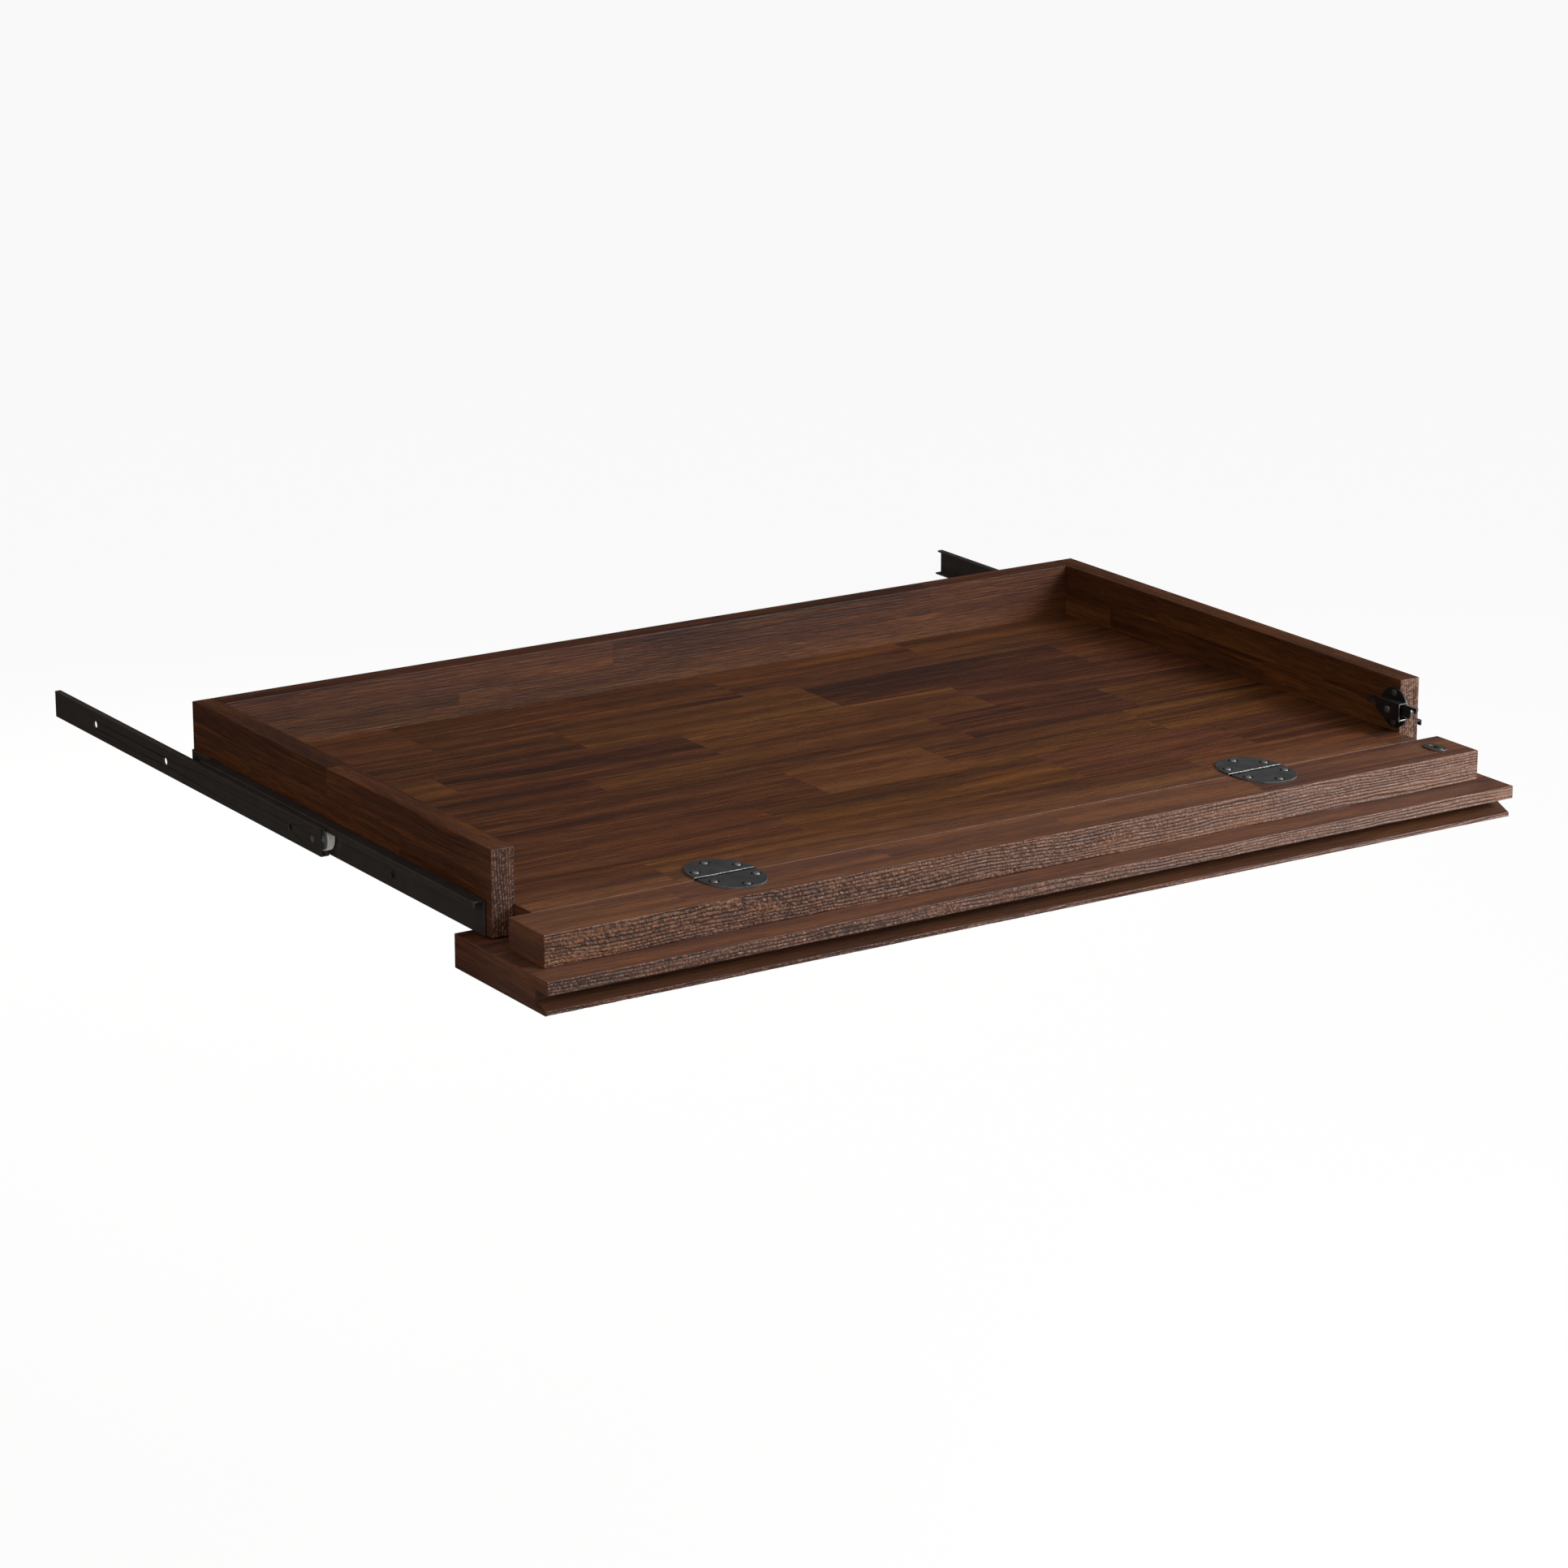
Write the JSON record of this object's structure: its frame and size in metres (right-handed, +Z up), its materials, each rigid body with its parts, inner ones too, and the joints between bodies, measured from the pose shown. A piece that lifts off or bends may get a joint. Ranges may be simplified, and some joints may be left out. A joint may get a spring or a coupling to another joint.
{
  "type": "under desk drawer",
  "caption": "Shallow wooden keyboard drawer on side roller rails, with a drop-down front flap on oval hinges held upright by a small spring hook latch.",
  "frame": {"origin": "centre of the underside of the whole part's box at rest, with the drawer pulled part-way out and the flap down", "axes": "+X across the drawer to the right as seen by the user, -Y towards the user, the way the drawer comes out, +Z up"},
  "size_m": [0.671, 0.599, 0.0709],
  "materials": {
    "acacia": "stained, strip-laminated acacia, satin, wire-brushed on the front faces",
    "dowel_wood": "plain fluted beech",
    "hinge_steel": "dark charcoal, satin",
    "hinge_screw": "dark oxide",
    "latch_black": "black, satin",
    "latch_screw": "dark oxide, polished heads",
    "spring_wire": "bright drawn wire",
    "strike_bronze": "antique bronze grey, satin",
    "rail_black": "black powder coat, satin",
    "rail_screw": "black oxide",
    "roller_nylon": "natural nylon",
    "axle_zinc": "zinc plated"
  },
  "bodies": {
    "cabinet_rails": {"left_cabinet_rail": "rail_black", "right_cabinet_rail": "rail_black", "left_front_axle": "axle_zinc", "right_front_axle": "axle_zinc"},
    "drawer": {"floor_board": "acacia", "left_side": "acacia", "right_side": "acacia", "back_panel": "acacia", "box_dowels": "dowel_wood", "left_hinge_rear_leaf": "hinge_steel", "right_hinge_rear_leaf": "hinge_steel", "left_hinge_pin": "hinge_steel", "right_hinge_pin": "hinge_steel", "hinge_rear_screws": "hinge_screw", "latch_plate": "latch_black", "latch_housing": "latch_black", "latch_rivet": "latch_screw", "latch_spring": "spring_wire", "latch_screws": "latch_screw", "left_drawer_rail": "rail_black", "right_drawer_rail": "rail_black", "left_rear_axle": "axle_zinc", "right_rear_axle": "axle_zinc", "left_drawer_rail_screws": "rail_screw", "right_drawer_rail_screws": "rail_screw"},
    "front_flap": {"front_panel": "acacia", "front_batten": "acacia", "front_dowels": "dowel_wood", "left_hinge_front_leaf": "hinge_steel", "right_hinge_front_leaf": "hinge_steel", "hinge_front_screws": "hinge_screw", "strike_plate": "strike_bronze", "strike_screws": "strike_bronze"},
    "latch_hook": {"latch_lever": "latch_black"},
    "left_cabinet_roller": {"left_front_roller": "roller_nylon"},
    "right_cabinet_roller": {"right_front_roller": "roller_nylon"},
    "left_drawer_roller": {"left_rear_roller": "roller_nylon"},
    "right_drawer_roller": {"right_rear_roller": "roller_nylon"}
  },
  "joints": [
    {"name": "drawer_slide", "type": "slide", "parent": "cabinet_rails", "child": "drawer", "axis": [0, -1, 0], "range_m": [-0.171, 0.089]},
    {"name": "flap_hinge", "type": "hinge", "parent": "drawer", "child": "front_flap", "pos_m": [0, -0.2405, 0.038], "axis": [-1, 0, 0], "range_deg": [0, 90]},
    {"name": "latch_pivot", "type": "hinge", "parent": "drawer", "child": "latch_hook", "pos_m": [0.30435, -0.2195, 0.0533], "axis": [-1, 0, 0], "range_deg": [0, 6.5], "stiffness_Nm_per_rad": 0.04},
    {"name": "left_cabinet_roller_spin", "type": "hinge", "parent": "cabinet_rails", "child": "left_cabinet_roller", "pos_m": [-0.32715, -0.0405, 0.0323], "axis": [1, 0, 0], "range_deg": [-1250, 660]},
    {"name": "right_cabinet_roller_spin", "type": "hinge", "parent": "cabinet_rails", "child": "right_cabinet_roller", "pos_m": [0.32715, -0.0405, 0.0323], "axis": [1, 0, 0], "range_deg": [-1250, 660]},
    {"name": "left_drawer_roller_spin", "type": "hinge", "parent": "drawer", "child": "left_drawer_roller", "pos_m": [-0.3321, 0.1205, 0.03225], "axis": [1, 0, 0], "range_deg": [-1420, 745]},
    {"name": "right_drawer_roller_spin", "type": "hinge", "parent": "drawer", "child": "right_drawer_roller", "pos_m": [0.3321, 0.1205, 0.03225], "axis": [1, 0, 0], "range_deg": [-1420, 745]}
  ],
  "couplings": [
    {"joint": "left_cabinet_roller_spin", "follows": "drawer_slide", "rad_per_m": 125.79},
    {"joint": "right_cabinet_roller_spin", "follows": "drawer_slide", "rad_per_m": 125.79},
    {"joint": "left_drawer_roller_spin", "follows": "drawer_slide", "rad_per_m": 142.86},
    {"joint": "right_drawer_roller_spin", "follows": "drawer_slide", "rad_per_m": 142.86}
  ]
}
